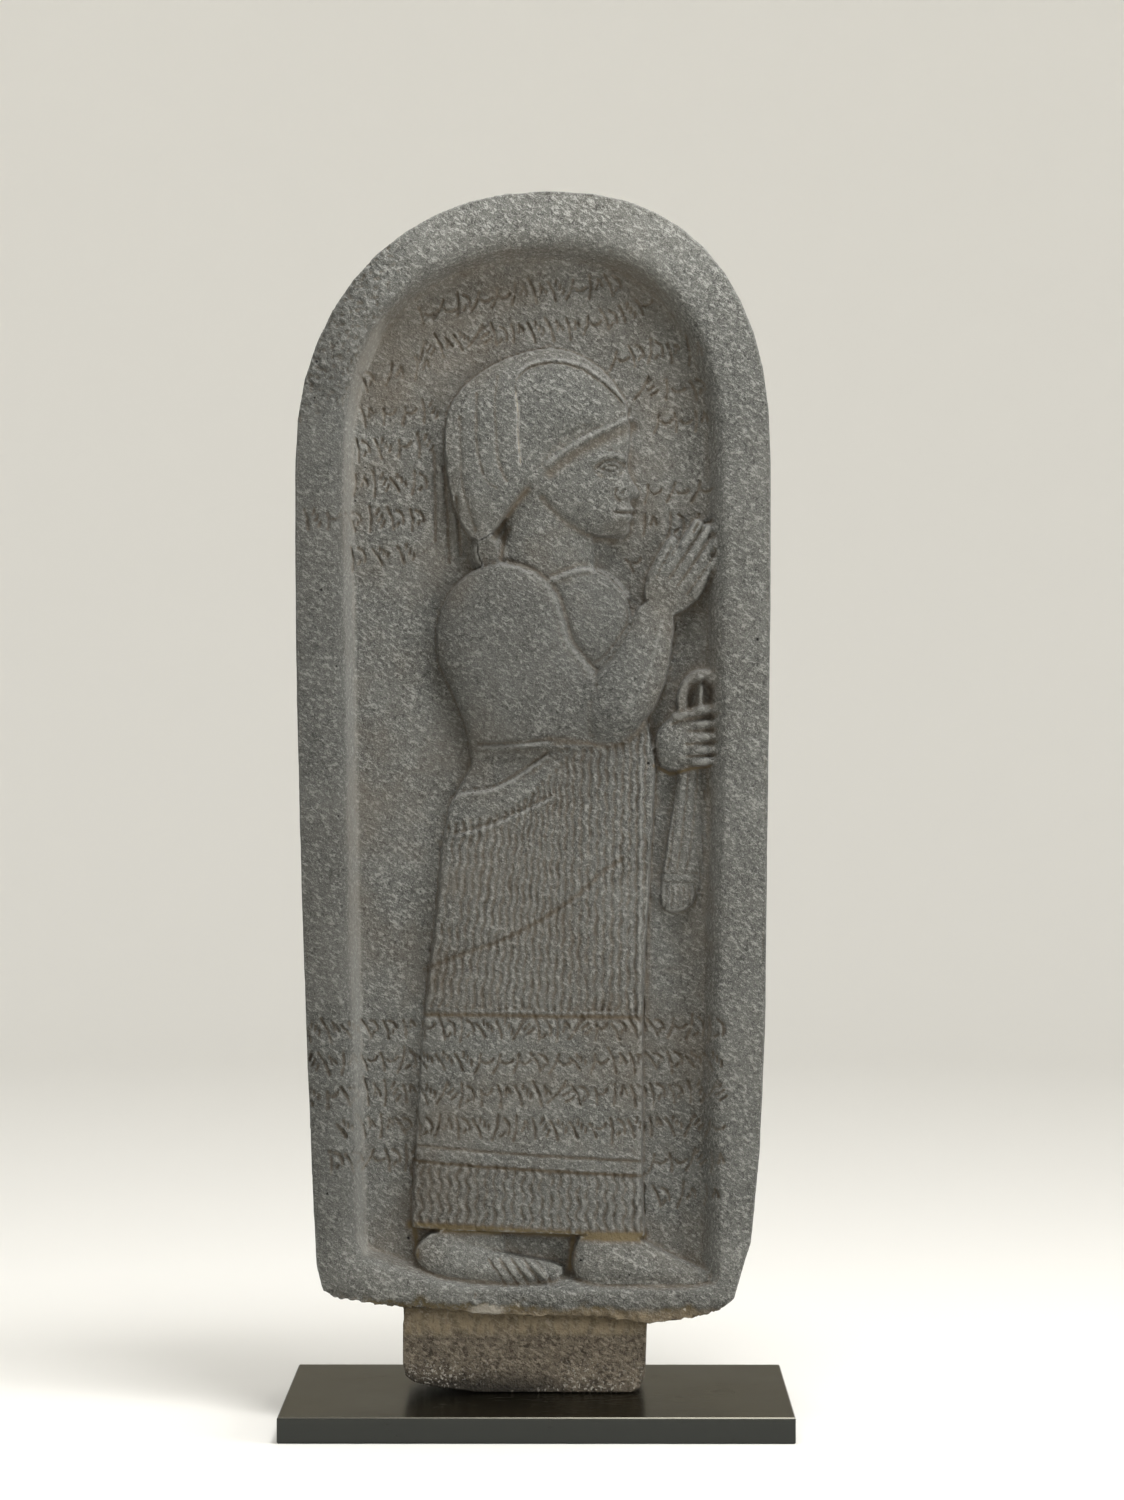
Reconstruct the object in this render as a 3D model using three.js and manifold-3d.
// A round-topped basalt funerary stele: a slab with a sunk panel, in which a standing figure with one
// hand raised is carved in relief. The slab's tenon stands on a low metal plate.
//
// The part's frame has +Z up, the carved face towards -Y, and its origin under the middle of the plate.
// The stone is worked out in its own carving frame, x to the right, y up from the ground and z out of
// the panel's floor towards the viewer, and one rotation of its mesh stands it up.

import * as THREE from "three";
import { mergeVertices } from "three/addons/utils/BufferGeometryUtils.js";
import Module from "manifold-3d";

const wasm = await Module();
wasm.setup();

// ---------------------------------------------------------------- driving dimensions, in millimetres

const PLATE = { width: 391, depth: 280, thickness: 20, chamfer: 1 };
const SEAT_GAP = 0.3; // between the tenon's underside and the plate

const SLAB_FRONT_Y = -32;
const SLAB_BACK_Y = 88;
const PANEL_DEPTH = 28; // from the rim's face to the panel's floor
const FLOOR_Y = SLAB_FRONT_Y + PANEL_DEPTH;
const RIM = PANEL_DEPTH; // the rim's face in the carving frame
const BACK = FLOOR_Y - SLAB_BACK_Y; // the slab's back in the carving frame
const ARRIS = 9; // rounding of the slab's outer edges

const TENON = { front: 14, back: -80, arris: 5 };
const EMBED = 6; // how far a carved form runs on below the panel's floor
const SINK = 1; // how far its edge starts below that floor

// ---------------------------------------------------------------- solids

// A closed mesh as a solid: vertices merged, and the triangles that this collapses left out.
function solidOf(geometry) {
  const bare = new THREE.BufferGeometry();
  bare.setAttribute("position", geometry.getAttribute("position").clone());
  if (geometry.index) bare.setIndex(geometry.index.clone());
  const merged = mergeVertices(bare, 1e-4);
  const corners = merged.index.array;
  const kept = [];
  for (let i = 0; i < corners.length; i += 3) {
    const [a, b, c] = corners.subarray(i, i + 3);
    if (a !== b && b !== c && c !== a) kept.push(a, b, c);
  }
  const make = (triangles) =>
    new wasm.Manifold(
      new wasm.Mesh({
        numProp: 3,
        vertProperties: new Float32Array(merged.attributes.position.array),
        triVerts: new Uint32Array(triangles),
      }),
    );
  const solid = make(kept);
  if (solid.volume() > 0) return solid;
  for (let i = 0; i < kept.length; i += 3) [kept[i + 1], kept[i + 2]] = [kept[i + 2], kept[i + 1]];
  return make(kept);
}

function geometryOf(solid) {
  const { vertProperties, triVerts } = solid.getMesh();
  const geometry = new THREE.BufferGeometry();
  geometry.setAttribute("position", new THREE.BufferAttribute(vertProperties, 3));
  geometry.setIndex(new THREE.BufferAttribute(triVerts, 1));
  return geometry;
}

// A closed skin between two grids of the same size: front(u, v) and back(u, v), with u and v from 0 to 1.
// With wrap, the last column is the first one again.
function gridSolid(columns, rows, front, back, wrap = false) {
  const grid = (place) => (i, j) => place(wrap && i === columns ? 0 : i / columns, j / rows);
  const top = grid(front);
  const root = grid(back);
  const soup = [];
  const quad = (a, b, c, d) => soup.push(...a, ...b, ...c, ...a, ...c, ...d);
  for (let i = 0; i < columns; i++) {
    for (let j = 0; j < rows; j++) {
      quad(top(i, j), top(i + 1, j), top(i + 1, j + 1), top(i, j + 1));
      quad(root(i, j), root(i, j + 1), root(i + 1, j + 1), root(i + 1, j));
    }
    quad(top(i + 1, 0), top(i, 0), root(i, 0), root(i + 1, 0));
    quad(top(i, rows), top(i + 1, rows), root(i + 1, rows), root(i, rows));
  }
  for (let j = 0; j < rows && !wrap; j++) {
    quad(top(columns, j + 1), top(columns, j), root(columns, j), root(columns, j + 1));
    quad(top(0, j), top(0, j + 1), root(0, j + 1), root(0, j));
  }
  const geometry = new THREE.BufferGeometry();
  geometry.setAttribute("position", new THREE.Float32BufferAttribute(soup, 3));
  return solidOf(geometry);
}

// A form carved on the panel's floor: place(u, v) gives its surface, and it runs on below the floor.
function carved(columns, rows, place, wrap = false) {
  const root = (u, v) => {
    const [x, y] = place(u, v);
    return [x, y, -EMBED];
  };
  return gridSolid(columns, rows, place, root, wrap);
}

// ---------------------------------------------------------------- curves and profiles

const mix = (a, b, t) => a + (b - a) * t;

// A smooth curve through points [x, y], read at t from 0 to 1.
function curveThrough(points, closed = false) {
  const vectors = points.map(([x, y]) => new THREE.Vector3(x, y, 0));
  const curve = new THREE.CatmullRomCurve3(vectors, closed, "centripetal");
  return (t) => curve.getPoint(t);
}

// The value at a key, between the rows [key, value] of a table whose keys rise.
function between(table, key) {
  const above = table.slice(1, -1).findIndex(([k]) => k >= key);
  const next = above < 0 ? table.length - 1 : above + 1;
  const [k0, v0] = table[next - 1];
  const [k1, v1] = table[next];
  return mix(v0, v1, THREE.MathUtils.clamp((key - k0) / (k1 - k0), 0, 1));
}

// A round shoulder: 0 at the edge and 1 in the middle, squarer as power falls below 1.
const shoulder = (angle, power) => Math.max(0, Math.sin(angle)) ** power;

// A limb along a spine of stations [x, y, halfWidth, height], round in section and at both ends.
function limb(stations, { columns = 8, rows = 8, power = 0.8 } = {}) {
  const spine = curveThrough(stations);
  const girth = curveThrough(stations.map(([, , half, height]) => [half, height]));
  const step = ([x, y], i) => Math.hypot(x - stations[i][0], y - stations[i][1]);
  const length = stations.slice(1).map(step).reduce((sum, part) => sum + part, 0);
  return carved(columns, rows, (u, v) => {
    const t = (1 - Math.cos(Math.PI * v)) / 2;
    const at = spine(t);
    const ahead = spine(Math.min(1, t + 0.01));
    const behind = spine(Math.max(0, t - 0.01));
    const along = ahead.sub(behind).normalize();
    const { x: half, y: height } = girth(t);
    const toEnd = Math.min(t, 1 - t) * length;
    const round = toEnd < half ? Math.sqrt(Math.max(0, 1 - (1 - toEnd / half) ** 2)) : 1;
    const across = -Math.cos(Math.PI * u) * half * round;
    const out = height * round ** 0.5 * shoulder(Math.PI * u, power);
    return [at.x - along.y * across, at.y + along.x * across, out - SINK];
  });
}

// A dome over a closed outline, highest over its core, squarer as power falls.
function dome(outline, core, height, { columns = 28, rings = 6, power = 0.7 } = {}) {
  const edge = curveThrough(outline, true);
  return carved(
    columns,
    rings,
    (u, v) => {
      const rise = (Math.PI / 2) * v;
      const at = edge(u);
      return [
        mix(core[0], at.x, Math.cos(rise)),
        mix(core[1], at.y, Math.cos(rise)),
        height * shoulder(rise, power) - SINK,
      ];
    },
    true,
  );
}

// A form between a left and a right edge, each a curve through points. Its height along the way comes
// from stations [t, height].
function strip(left, right, heights, { columns = 12, rows = 12, powers = [0.7, 0.7] } = {}) {
  const leftEdge = curveThrough(left);
  const rightEdge = curveThrough(right);
  return carved(columns, rows, (u, v) => {
    const a = leftEdge(v);
    const b = rightEdge(v);
    const s = (1 - Math.cos(Math.PI * u)) / 2;
    const power = mix(powers[0], powers[1], s);
    return [mix(a.x, b.x, s), mix(a.y, b.y, s), between(heights, v) * shoulder(Math.PI * u, power) - SINK];
  });
}

// ---------------------------------------------------------------- the slab

// One side of a round head: a quarter of a superellipse from the springing up to the crown.
function archSide({ crown, springing, power }, steps) {
  return Array.from({ length: steps + 1 }, (_, i) => {
    const angle = ((Math.PI / 2) * i) / steps;
    return [
      mix(crown[0], springing[0], Math.cos(angle) ** (2 / power)),
      mix(springing[1], crown[1], Math.sin(angle) ** (2 / power)),
    ];
  });
}

const CROWN = [8, 955];
const ARCH_STEPS = 11;
const leftArch = archSide({ crown: CROWN, springing: [-188, 744], power: 2.15 }, ARCH_STEPS);
const rightArch = archSide({ crown: CROWN, springing: [181, 744], power: 2.4 }, ARCH_STEPS);
const slabLeft = [
  [-141, 92], [-158, 95], [-167, 101], [-172, 121], [-175, 185], [-179, 281], [-183, 405],
  [-187, 560], [-188, 669],
];
const slabRight = [
  [181, 638], [179, 483], [177, 306], [173, 211], [166, 139], [159, 116], [153, 95], [143, 85],
  [122, 79], [87, 75],
];
const slabBottom = [[40, 79], [-40, 81], [-108, 87]];

function extruded(outline, from, to, arris, segments) {
  const shape = new THREE.Shape(outline.map(([x, y]) => new THREE.Vector2(x, y)));
  const geometry = new THREE.ExtrudeGeometry(shape, {
    depth: to - from - 2 * arris,
    bevelEnabled: true,
    bevelThickness: arris,
    bevelSize: arris,
    bevelOffset: -arris,
    bevelSegments: segments,
    curveSegments: 1,
  });
  return solidOf(geometry.translate(0, 0, from + arris));
}

function slab() {
  const head = [...leftArch, ...rightArch.slice(0, -1).reverse()];
  return extruded([...slabLeft, ...head, ...slabRight, ...slabBottom], BACK, RIM, ARRIS, 3);
}

// The tenon, a little narrower and thinner than the slab, with a worn, bellied foot that is flat where
// it rests.
function tenon() {
  const seat = PLATE.thickness + SEAT_GAP;
  const foot = [
    [74, seat], [80, 24], [84, 34], [85, 59], [86, 98], [-105, 98], [-105, 43], [-103, 33],
    [-96, 28], [-77, 24], [-46, seat],
  ];
  return extruded(foot, TENON.back, TENON.front, TENON.arris, 2);
}

// ---------------------------------------------------------------- the sunk panel

const MOUTH_CROWN = [10, 919];
const MOUTH_POWER = 2.35;
const mouthArch = (springing) => archSide({ crown: MOUTH_CROWN, springing, power: MOUTH_POWER }, ARCH_STEPS);
const mouthLeftArch = mouthArch([-157, 744]);
const mouthRightArch = mouthArch([146, 744]);
const mouthLeft = [
  [-20, 102], [-50, 103], [-71, 106], [-97, 112], [-117, 119], [-138, 125], [-147, 142],
  [-149, 250], [-153, 405], [-155, 560], [-157, 669],
];
const mouthRight = [
  [145, 638], [145, 483], [143, 328], [141, 250], [142, 134], [142, 110], [134, 103], [109, 102],
  [57, 103],
];
// The width of the panel's sloping side where it faces right, left, down and up.
const SLOPE = { facingRight: 16, facingLeft: 17, facingDown: 19, facingUp: 10 };
// The side's section, from above the rim to the floor: [share of the slope's width, of the panel's depth].
const SIDE_SECTION = [
  [-0.5, 1.3], [-0.28, 1.03], [-0.12, 0.985], [0.05, 0.92], [0.35, 0.66], [0.62, 0.32], [0.82, 0.1],
  [1.06, 0],
];

function panel() {
  const head = [...mouthLeftArch, ...mouthRightArch.slice(0, -1).reverse()];
  const mouth = [...mouthLeft, ...head, ...mouthRight];
  const count = mouth.length;
  const inward = mouth.map((_, i) => {
    const [ax, ay] = mouth[(i + count - 1) % count];
    const [bx, by] = mouth[(i + 1) % count];
    return new THREE.Vector2(by - ay, ax - bx).normalize();
  });
  const slope = inward.map((n) => {
    const level = n.x > 0 ? SLOPE.facingRight : SLOPE.facingLeft;
    const upright = n.y > 0 ? SLOPE.facingUp : SLOPE.facingDown;
    return level * n.x ** 2 + upright * n.y ** 2;
  });
  const centre = new THREE.Vector2(0, 500);
  const ring = (i, j) => {
    const k = i % count;
    const [share, depth] = SIDE_SECTION[Math.min(j, SIDE_SECTION.length - 1)];
    const at = new THREE.Vector2(...mouth[k]).addScaledVector(inward[k], share * slope[k]);
    return [at.x, at.y, depth * RIM];
  };
  const rings = SIDE_SECTION.length - 1;
  const soup = [];
  for (let i = 0; i < count; i++) {
    for (let j = 0; j < rings; j++) {
      soup.push(...ring(i, j), ...ring(i + 1, j), ...ring(i + 1, j + 1));
      soup.push(...ring(i, j), ...ring(i + 1, j + 1), ...ring(i, j + 1));
    }
    soup.push(centre.x, centre.y, 0, ...ring(i, rings), ...ring(i + 1, rings));
    soup.push(centre.x, centre.y, SIDE_SECTION[0][1] * RIM, ...ring(i + 1, 0), ...ring(i, 0));
  }
  const geometry = new THREE.BufferGeometry();
  geometry.setAttribute("position", new THREE.Float32BufferAttribute(soup, 3));
  return solidOf(geometry);
}

// ---------------------------------------------------------------- the robe

// The robe's edges as tables of [y, x], from the hem up to where the arms hide it.
const robeLeft = [
  [142, -101], [160, -100], [202, -97], [241, -95], [287, -92], [326, -89], [369, -84], [412, -79],
  [450, -76], [470, -73], [486, -67], [498, -59], [507, -53], [533, -54], [580, -58],
];
const robeRight = [
  [142, 85], [170, 83], [255, 83], [318, 83.5], [369, 85], [404, 88], [443, 89.5], [482, 92],
  [509, 93], [533, 89], [580, 78],
];
const ROBE_HEIGHT = [[142, 19], [320, 19], [450, 19.5], [500, 17], [580, 16]];
const ROBE_POWERS = [0.55, 0.3]; // the back is rounded away, and the front edge is crisp

function robePoint(s, y, lift) {
  const angle = Math.acos(1 - 2 * s);
  const round = shoulder(angle, mix(...ROBE_POWERS, s));
  const x = mix(between(robeLeft, y), between(robeRight, y), s);
  return [x, y, (between(ROBE_HEIGHT, y) + lift) * round - SINK];
}

// A layer of the robe between its lower and upper edge, each a table of [s, y], with s from the back
// edge to the front one.
function robeLayer(lower, upper, { columns, rows, lift, even = false }) {
  return carved(columns, rows, (u, v) => {
    const s = even ? u : (1 - Math.cos(Math.PI * u)) / 2;
    return robePoint(s, mix(between(lower, s), between(upper, s), v), lift(u));
  });
}

// Strands that hang side by side: a ridge for each, between grooves.
const strands = (count, base, ridge) => (u) => base + ridge * Math.abs(Math.sin(Math.PI * u * count));

const HEM = [[0, 149], [1, 142]];
const HEM_FRINGE_TOP = [[0, 198], [1, 190]];
const BAND = { lower: [[0, 201], [1, 192]], upper: [[0, 212], [1, 202]] };
const SHAWL_EDGE = [[0, 320], [1, 316]];
const WRAP_EDGE = [[0, 352], [0.12, 360], [0.36, 374], [0.6, 398], [0.82, 424], [1, 437]];
const WRAP_TOP = [[0, 488], [0.17, 493], [0.3, 502], [0.42, 516], [0.6, 524], [1, 530]];

function robe() {
  const plain = () => 0;
  return [
    robeLayer(HEM, [[0, 575], [1, 575]], { columns: 14, rows: 13, lift: plain }),
    robeLayer(HEM, HEM_FRINGE_TOP, { columns: 52, rows: 1, lift: strands(26, 0.5, 1.5), even: true }),
    robeLayer(BAND.lower, BAND.upper, { columns: 12, rows: 1, lift: () => 2 }),
    robeLayer(SHAWL_EDGE, WRAP_TOP, { columns: 46, rows: 4, lift: strands(23, 0.8, 1.5), even: true }),
    robeLayer(WRAP_EDGE, WRAP_TOP, { columns: 46, rows: 2, lift: strands(23, 2.4, 1.5), even: true }),
  ];
}

// ---------------------------------------------------------------- the body and arms

function body() {
  const back = [
    [-28, 668], [-48, 663], [-64, 651], [-75, 634], [-80.5, 612], [-79, 592], [-70, 572],
    [-62, 553], [-56, 535], [-54, 524],
  ];
  const sleeve = [
    [-28, 668], [-8, 662], [6, 653], [15, 641], [21, 626], [25, 609], [33, 596], [44, 583],
    [53, 566], [60, 548], [55, 532], [42, 524],
  ];
  const heights = [[0, 12], [0.04, 18], [0.12, 23], [0.3, 26], [0.7, 25], [1, 22]];
  const nape = [[-40, 606], [-27, 668], [-26, 730]];
  const throat = [[56, 600], [46, 664], [44, 730]];
  const farShoulder = [
    [8, 650], [21, 658], [35, 663], [47, 661], [60, 653], [69, 642], [74, 628], [71, 612],
    [62, 598], [45, 578], [20, 590], [2, 620],
  ];
  return [
    strip(back, sleeve, heights, { columns: 12, rows: 14, powers: [0.75, 0.4] }),
    dome(farShoulder, [38, 622], 18, { columns: 20, rings: 5, power: 0.6 }),
    strip(nape, throat, [[0, 15], [0.45, 14], [1, 15]], { columns: 8, rows: 4 }),
  ];
}

function nearArm() {
  const elbowToWrist = [
    [26, 552, 27, 27], [55, 556, 29, 27.5], [72, 573, 27, 26], [82, 594, 22.5, 24],
    [89, 615, 18, 21.5], [93, 638, 16, 19],
  ];
  const palm = [[91, 628, 17, 19], [100, 642, 20, 20], [110, 655, 22, 20], [119, 667, 20, 18.5]];
  // Each finger from its knuckle to its tip: [x, y] and [x, y].
  const fingers = [
    [[98, 656], [128, 702]],
    [[106, 651], [136, 698]],
    [[113, 645], [139, 687]],
    [[119, 638], [138, 672]],
  ];
  const finger = ([[x0, y0], [x1, y1]]) =>
    limb([[x0, y0, 6.2, 21.5], [x1, y1, 4.5, 19.5]], { columns: 6, rows: 6, power: 0.6 });
  return [
    limb(elbowToWrist, { columns: 10, rows: 12, power: 0.5 }),
    limb(palm, { columns: 10, rows: 8, power: 0.5 }),
    limb([[88, 650, 6, 19], [97, 668, 6, 20], [107, 688, 4.5, 19]], { columns: 6, rows: 8, power: 0.6 }),
    ...fingers.map(finger),
  ];
}

// The far hand, which grips a folded cloth: its loop stands up above the fist, and the rest hangs down.
function farHand() {
  const fist = [
    [91, 524], [93, 536], [102, 546], [114, 551], [130, 552], [140, 548], [142, 535], [139, 520],
    [133, 509], [117, 507], [106, 505], [96, 508],
  ];
  const loop = [
    [113, 548, 5, 15], [113.5, 566, 5, 16], [121, 578, 5, 17], [132, 580, 5, 18],
    [139.5, 571, 5, 18], [140.5, 552, 5, 17],
  ];
  const clothLeft = [[108, 515], [108, 493], [104, 470], [99, 440], [95, 412], [97, 398], [106, 394]];
  const clothRight = [[131, 515], [130, 493], [129, 470], [128, 440], [126, 412], [120, 399], [106, 394]];
  const clothHeights = [[0, 11], [0.8, 11], [0.96, 8], [1, 4]];
  const clothFold = [[119, 506, 2.2, 13.5], [118, 470, 2.2, 13.5], [114, 416, 2.2, 13]];
  const knuckles = [541, 531, 521, 512];
  const knuckle = (y) =>
    limb([[119, y, 4.8, 20.5], [138, y + 1, 4.4, 20.5]], { columns: 6, rows: 5, power: 0.6 });
  const inLoop = [[112, 545], [112, 566], [121, 577], [132, 578], [139, 570], [140, 545]];
  return [
    dome(fist, [114, 529], 18, { columns: 24, rings: 5, power: 0.55 }),
    limb([[104, 546, 5, 19], [124, 551, 4.5, 20], [143, 556, 3.5, 20]], { columns: 6, rows: 8, power: 0.6 }),
    ...knuckles.map(knuckle),
    limb(loop, { columns: 6, rows: 15, power: 0.6 }),
    dome(inLoop, [126, 560], 9.5, { columns: 12, rings: 2 }),
    limb([[126, 550, 3, 14], [127.5, 574, 3, 14]], { columns: 6, rows: 6, power: 0.6 }),
    strip(clothLeft, clothRight, clothHeights, { columns: 7, rows: 9, powers: [0.45, 0.6] }),
    limb(clothFold, { columns: 4, rows: 4, power: 0.6 }),
  ];
}

// ---------------------------------------------------------------- the head

function head() {
  const cap = [
    [10, 836], [-14, 831], [-34, 823], [-51, 812], [-64, 799], [-71, 785], [-74, 766], [-73, 744],
    [-70, 724], [-64, 704], [-54, 686], [-45, 682], [-35, 690], [-22, 706], [-7, 723], [4, 738],
    [13, 751], [25, 762], [40, 771], [55, 777], [68, 780], [72, 786], [68, 796], [60, 809],
    [48, 821], [31, 831],
  ];
  const cheek = [
    [66, 784], [68, 762], [66, 738], [67, 716], [66, 700], [60, 687], [40, 688], [22, 696],
    [4, 706], [-10, 718], [-14, 734], [-8, 756], [16, 780], [44, 795],
  ];
  const profile = [
    [68, 686], [72.5, 692], [72, 698.5], [75, 702.5], [73.5, 706], [76, 709], [73.5, 712],
    [73.5, 716], [78, 718], [80, 722], [74, 731], [70.5, 742], [71, 749], [72.5, 760], [72.5, 772],
    [70, 784],
  ];
  const middle = [[46, 688], [30, 736], [38, 784]];
  const heights = [[0, 5], [0.03, 11], [0.08, 16], [0.14, 19], [1, 19]];
  const nape = [[-48, 676], [-44, 686], [-32, 690], [-26, 680], [-28, 664], [-38, 660]];
  return [
    dome(nape, [-36, 675], 13, { columns: 12, rings: 3 }),
    dome(cap, [-4, 768], 26, { columns: 36, rings: 6, power: 0.5 }),
    dome(cheek, [36, 736], 20.5, { columns: 28, rings: 5, power: 0.42 }),
    strip(middle, profile, heights, { columns: 8, rows: 28, powers: [0.5, 0.5] }),
    limb([[-2, 745, 5, 21], [-1, 733, 6, 22], [3, 723, 4, 20]], { columns: 6, rows: 6 }),
    limb([[47, 741, 3, 20], [56, 742, 4.2, 20.8], [65, 740, 2.4, 18]], { columns: 6, rows: 6 }),
    limb([[43, 749, 2.2, 20.8], [56, 752.5, 2.6, 21.2], [69, 748, 2.2, 17.5]], { columns: 4, rows: 6 }),
    limb([[66, 720.5, 3, 19.5], [75, 720, 3.4, 15]], { columns: 6, rows: 4, power: 0.6 }),
    limb([[62, 709.5, 1.9, 20.5], [74, 709.2, 2.4, 15]], { columns: 6, rows: 4, power: 0.6 }),
    limb([[62, 703.5, 1.9, 20.5], [73, 703, 2.4, 15]], { columns: 6, rows: 4, power: 0.6 }),
  ];
}

// ---------------------------------------------------------------- the feet

function feet() {
  const backFoot = [
    [-97, 128], [-91, 140], [-78, 147], [-52, 139], [-26, 130], [4, 124], [22, 118], [20, 108],
    [-4, 103], [-38, 104], [-64, 106], [-88, 113],
  ];
  const frontFoot = [
    [26, 119], [28, 134], [35, 147], [60, 150], [78, 142], [104, 128], [126, 118], [141, 111],
    [136, 104], [95, 102], [55, 102], [34, 105],
  ];
  const toes = [-30, -19, -8, 3];
  const toe = (x) =>
    limb([[x - 8, 122, 4.2, 23], [x + 6, 109, 4.4, 24.5]], { columns: 6, rows: 5, power: 0.6 });
  return [
    dome(backFoot, [-62, 120], 23, { columns: 22, rings: 5, power: 0.5 }),
    ...toes.map(toe),
    dome(frontFoot, [62, 118], 24, { columns: 22, rings: 5, power: 0.5 }),
    strip([[-80, 160], [-80, 128]], [[-28, 160], [-22, 124]], [[0, 14], [1, 14]], { columns: 6, rows: 2 }),
    strip([[30, 160], [30, 120]], [[80, 160], [78, 130]], [[0, 15], [1, 15]], { columns: 6, rows: 2 }),
  ];
}

// ---------------------------------------------------------------- the stele

function stele() {
  const sunk = slab().subtract(panel());
  const forms = [tenon(), ...robe(), ...body(), ...head(), ...nearArm(), ...farHand(), ...feet()];
  return forms.reduce((whole, form) => whole.add(form), sunk);
}

const basalt = new THREE.MeshStandardMaterial({
  name: "basalt",
  color: 0x6e6c69,
  roughness: 0.86,
  metalness: 0,
});
const steleMesh = new THREE.Mesh(geometryOf(stele()), basalt);
steleMesh.name = "stele";
steleMesh.rotation.x = Math.PI / 2;
steleMesh.position.y = FLOOR_Y;

// ---------------------------------------------------------------- the plate

function plateGeometry() {
  const { width, depth, thickness, chamfer } = PLATE;
  const shape = new THREE.Shape();
  shape.moveTo(-width / 2, -depth / 2);
  shape.lineTo(width / 2, -depth / 2);
  shape.lineTo(width / 2, depth / 2);
  shape.lineTo(-width / 2, depth / 2);
  shape.closePath();
  return new THREE.ExtrudeGeometry(shape, {
    depth: thickness - 2 * chamfer,
    bevelEnabled: true,
    bevelThickness: chamfer,
    bevelSize: chamfer,
    bevelOffset: -chamfer,
    bevelSegments: 1,
  });
}

const bronzed = new THREE.MeshStandardMaterial({
  name: "bronzed_steel",
  color: 0x35342f,
  roughness: 0.3,
  metalness: 0.8,
});
const plateMesh = new THREE.Mesh(plateGeometry(), bronzed);
plateMesh.name = "base_plate";
plateMesh.position.z = PLATE.chamfer;

const part = new THREE.Group();
part.add(plateMesh, steleMesh);

export default part;
